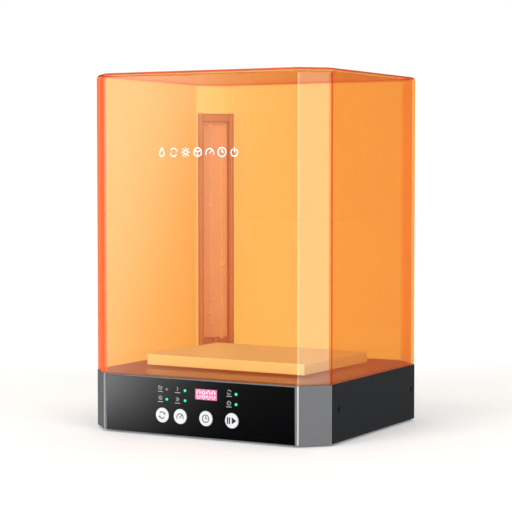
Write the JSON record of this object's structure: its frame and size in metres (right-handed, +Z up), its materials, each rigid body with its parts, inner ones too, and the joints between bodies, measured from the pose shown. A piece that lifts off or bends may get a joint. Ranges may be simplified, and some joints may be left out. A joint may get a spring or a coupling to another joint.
{
  "type": "uv curing lamp",
  "caption": "Desktop resin-print curing station: low base with key panel, lift-off tinted hood, turning platform and an upright ultraviolet lamp column.",
  "frame": {"origin": "on the surface it stands on, under the middle of the base, which is the turntable's axis", "axes": "+Z up along the turntable's axis, -Y the front with the keys, +X to the right seen from the front"},
  "size_m": [0.2546, 0.2322, 0.3406],
  "materials": {
    "dark_shell": "fine-textured dark charcoal powder coat",
    "frame_grey": "satin grey paint with a slight metal sparkle",
    "panel_black": "polished black acrylic",
    "key_white": "satin white moulded caps with printed symbols",
    "display_window": "lit pink window with white digits",
    "indicator": "clear light guides that glow green",
    "hood": "polished transparent orange acrylic",
    "platform_white": "satin white",
    "column_metal": "satin extrusion",
    "lamp_board": "white solder mask with lamp chips",
    "circuit_board": "green solder mask",
    "black_plastic": "fine moulded texture",
    "steel": "turned, zinc plated",
    "magnet": "nickel plated",
    "brass": "turned",
    "plate_black": "black powder coat",
    "screw_black": "blackened steel",
    "rubber": "matt",
    "lead_grey": "matt insulation"
  },
  "bodies": {
    "base": {"base_shell": "dark_shell", "board_screw_left": "steel", "board_screw_right": "steel", "bottom_plate": "plate_black", "bottom_screw_left_front": "screw_black", "bottom_screw_left_rear": "screw_black", "bottom_screw_right_front": "screw_black", "bottom_screw_right_rear": "screw_black", "bracket_screw_left": "steel", "bracket_screw_right": "steel", "control_board": "circuit_board", "dc_inlet": "black_plastic", "deck_plate": "dark_shell", "display_module": "black_plastic", "display_window": "display_window", "drive_motor": "steel", "foot_left_front": "rubber", "foot_left_rear": "rubber", "foot_right_front": "rubber", "foot_right_rear": "rubber", "front_frame": "frame_grey", "front_panel": "panel_black", "lamp_board": "lamp_board", "lamp_column": "column_metal", "lamp_foot": "column_metal", "lamp_lead": "lead_grey", "lamp_mount_screw_left": "steel", "lamp_mount_screw_right": "steel", "lamp_top_cap": "column_metal", "main_board": "circuit_board", "mode_light_guide": "indicator", "motor_bracket": "column_metal", "motor_lead": "lead_grey", "motor_screw_left": "steel", "motor_screw_right": "steel", "panel_lead": "lead_grey", "power_lead": "lead_grey", "run_light_guide": "indicator", "side_screw_left_front": "screw_black", "side_screw_left_rear": "screw_black", "side_screw_right_front": "screw_black", "side_screw_right_rear": "screw_black", "speed_light_guide": "indicator", "spindle_nut": "steel", "switch_housing": "black_plastic", "switch_lead": "lead_grey", "turntable_spindle": "steel"},
    "hood": {"cover_hood": "hood"},
    "platform": {"turntable_platform": "platform_white"},
    "turntable": {"turntable_hub": "black_plastic", "pivot_bush": "brass", "follower_magnet": "magnet"},
    "drive": {"magnet_carrier": "black_plastic", "drive_magnet": "magnet", "motor_shaft": "steel"},
    "mode_key": {"mode_button": "key_white"},
    "speed_key": {"speed_button": "key_white"},
    "time_key": {"time_button": "key_white"},
    "start_pause_key": {"start_pause_button": "key_white"},
    "rocker": {"power_rocker": "black_plastic"}
  },
  "joints": [
    {"name": "cover_lift", "type": "slide", "parent": "base", "child": "hood", "axis": [0, 0, 1], "range_m": [0, 0.27]},
    {"name": "turntable_spin", "type": "hinge", "parent": "base", "child": "turntable", "pos_m": [0, 0, 0.0632], "axis": [0, 0, 1], "continuous": true},
    {"name": "platform_lift", "type": "slide", "parent": "turntable", "child": "platform", "axis": [0, 0, 1], "range_m": [0, 0.1]},
    {"name": "drive_spin", "type": "hinge", "parent": "base", "child": "drive", "pos_m": [0, 0, 0.045], "axis": [0, 0, 1], "continuous": true},
    {"name": "mode_press", "type": "slide", "parent": "base", "child": "mode_key", "axis": [0, 1, 0], "range_m": [0, 0.0006], "stiffness_N_per_m": 400, "springref_m": -0.0005},
    {"name": "speed_press", "type": "slide", "parent": "base", "child": "speed_key", "axis": [0, 1, 0], "range_m": [0, 0.0006], "stiffness_N_per_m": 400, "springref_m": -0.0005},
    {"name": "time_press", "type": "slide", "parent": "base", "child": "time_key", "axis": [0, 1, 0], "range_m": [0, 0.0006], "stiffness_N_per_m": 400, "springref_m": -0.0005},
    {"name": "start_pause_press", "type": "slide", "parent": "base", "child": "start_pause_key", "axis": [0, 1, 0], "range_m": [0, 0.0006], "stiffness_N_per_m": 400, "springref_m": -0.0005},
    {"name": "power_rock", "type": "hinge", "parent": "base", "child": "rocker", "pos_m": [0.082, 0.1115, 0.029], "axis": [1, 0, 0], "range_deg": [-18, 0]}
  ],
  "couplings": [
    {"joint": "drive_spin", "follows": "turntable_spin", "ratio": 1}
  ]
}
